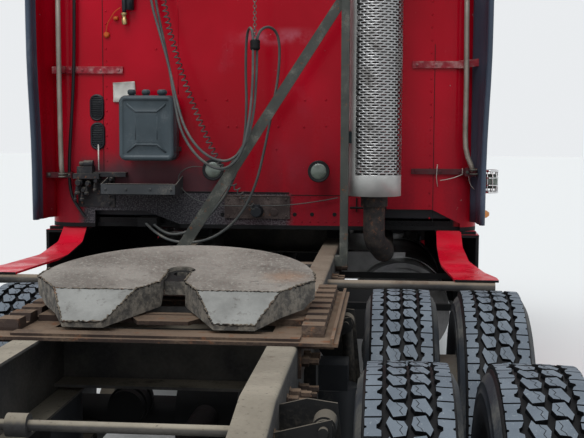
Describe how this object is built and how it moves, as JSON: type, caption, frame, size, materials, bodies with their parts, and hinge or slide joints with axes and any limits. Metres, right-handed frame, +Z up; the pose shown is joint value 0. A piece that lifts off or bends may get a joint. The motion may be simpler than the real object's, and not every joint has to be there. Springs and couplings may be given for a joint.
{
  "type": "semi truck tractor unit",
  "caption": "Bonneted sleeper-cab highway tractor with two drive axles, tilting sliding fifth wheel, steered front wheels, opening doors and a forward-tilting hood.",
  "frame": {"origin": "centre of the bounding box's footprint on the ground under the tyres", "axes": "+X the vehicle's left, +Y its rear, +Z up; it faces -Y"},
  "size_m": [2.9, 8.4, 3.9],
  "materials": {
    "frame_paint": "dusty black chassis paint",
    "cab_paint": "deep red gloss under road dirt",
    "floor_paint": "dark underbody",
    "fairing_paint": "faded red",
    "glass": "clear",
    "grease_steel": "greasy black with rust",
    "iron": "dirty cast iron",
    "tyre": "worn tread",
    "rim": "dull",
    "rubber": "matt",
    "black_plastic": "matt",
    "chrome": "dull chrome",
    "pipe_steel": "heat stained and rusty",
    "tank_metal": "brushed",
    "seat_cloth": "woven cloth"
  },
  "bodies": {
    "chassis": {"air_hoses": "rubber", "air_springs": "rubber", "axles": "iron", "back_shelf": "pipe_steel", "bumper": "chrome", "cab_back_wall": "cab_paint", "cab_extenders": "rubber", "cab_floor": "floor_paint", "cab_front": "cab_paint", "cab_roof": "cab_paint", "cab_sides": "cab_paint", "chassis_fairings": "fairing_paint", "cord_glands": "pipe_steel", "crossmembers": "frame_paint", "curly_cord": "rubber", "dashboard": "black_plastic", "exhaust_post": "pipe_steel", "exhaust_shield": "chrome", "exhaust_stack": "pipe_steel", "fifth_wheel_base": "grease_steel", "fixed_windows": "glass", "frame_rails": "frame_paint", "grab_poles": "chrome", "hood_hinges": "frame_paint", "jerrycan": "black_plastic", "mud_flaps": "rubber", "powertrain": "iron", "seats_and_bunk": "seat_cloth", "shock_absorbers": "frame_paint", "springs_and_arms": "frame_paint", "tanks": "tank_metal", "vents_and_lamps": "chrome"},
    "knuckle_left": {"knuckle_left": "iron"},
    "knuckle_right": {"knuckle_right": "iron"},
    "tie_rod": {"tie_rod": "iron"},
    "wheel_front_left": {"rim_front_left": "rim", "tyre_front_left": "tyre"},
    "wheel_front_right": {"rim_front_right": "rim", "tyre_front_right": "tyre"},
    "wheels_1_left": {"rims_1_left": "rim", "tyres_1_left": "tyre"},
    "wheels_1_right": {"rims_1_right": "rim", "tyres_1_right": "tyre"},
    "wheels_2_left": {"rims_2_left": "rim", "tyres_2_left": "tyre"},
    "wheels_2_right": {"rims_2_right": "rim", "tyres_2_right": "tyre"},
    "door_left": {"door_left": "cab_paint", "door_glass_left": "glass", "mirror_left": "black_plastic"},
    "door_right": {"door_right": "cab_paint", "door_glass_right": "glass", "mirror_right": "black_plastic"},
    "hood": {"hood_shell": "cab_paint", "hood_fenders": "cab_paint", "grille": "black_plastic", "headlamps": "glass"},
    "fifth_wheel_carriage": {"fifth_wheel_slider": "grease_steel"},
    "fifth_wheel_top": {"fifth_wheel_plate": "grease_steel", "kingpin_jaws": "grease_steel"}
  },
  "joints": [
    {"name": "steer_left", "type": "hinge", "parent": "chassis", "child": "knuckle_left", "pos_m": [0.83, -2.95, 0.52], "axis": [0, 0, 1], "range_deg": [-35, 35]},
    {"name": "steer_right", "type": "hinge", "parent": "chassis", "child": "knuckle_right", "pos_m": [-0.83, -2.95, 0.52], "axis": [0, 0, 1], "range_deg": [-35, 35]},
    {"name": "tie_rod_eye", "type": "hinge", "parent": "knuckle_left", "child": "tie_rod", "pos_m": [0.83, -2.77, 0.372], "axis": [0, 0, 1], "range_deg": [-35, 35]},
    {"name": "spin_front_left", "type": "hinge", "parent": "knuckle_left", "child": "wheel_front_left", "pos_m": [1.02, -2.95, 0.52], "axis": [1, 0, 0], "continuous": true},
    {"name": "spin_front_right", "type": "hinge", "parent": "knuckle_right", "child": "wheel_front_right", "pos_m": [-1.02, -2.95, 0.52], "axis": [1, 0, 0], "continuous": true},
    {"name": "spin_1_left", "type": "hinge", "parent": "chassis", "child": "wheels_1_left", "pos_m": [0.92, 2, 0.52], "axis": [1, 0, 0], "continuous": true},
    {"name": "spin_1_right", "type": "hinge", "parent": "chassis", "child": "wheels_1_right", "pos_m": [-0.92, 2, 0.52], "axis": [1, 0, 0], "continuous": true},
    {"name": "spin_2_left", "type": "hinge", "parent": "chassis", "child": "wheels_2_left", "pos_m": [0.92, 3.32, 0.52], "axis": [1, 0, 0], "continuous": true},
    {"name": "spin_2_right", "type": "hinge", "parent": "chassis", "child": "wheels_2_right", "pos_m": [-0.92, 3.32, 0.52], "axis": [1, 0, 0], "continuous": true},
    {"name": "door_left_hinge", "type": "hinge", "parent": "chassis", "child": "door_left", "pos_m": [1.082, -2.27, 1.9], "axis": [0, 0, -1], "range_deg": [0, 65]},
    {"name": "door_right_hinge", "type": "hinge", "parent": "chassis", "child": "door_right", "pos_m": [-1.082, -2.27, 1.9], "axis": [0, 0, 1], "range_deg": [0, 65]},
    {"name": "hood_tilt", "type": "hinge", "parent": "chassis", "child": "hood", "pos_m": [0, -4.05, 0.852], "axis": [1, 0, 0], "range_deg": [0, 75]},
    {"name": "fifth_wheel_slide", "type": "slide", "parent": "chassis", "child": "fifth_wheel_carriage", "axis": [0, 1, 0], "range_m": [-0.3, 0.16]},
    {"name": "fifth_wheel_tilt", "type": "hinge", "parent": "fifth_wheel_carriage", "child": "fifth_wheel_top", "pos_m": [0, 2.65, 1.143], "axis": [1, 0, 0], "range_deg": [0, 22]}
  ],
  "couplings": [
    {"joint": "steer_right", "follows": "steer_left", "ratio": 1},
    {"joint": "tie_rod_eye", "follows": "steer_left", "ratio": -1}
  ]
}
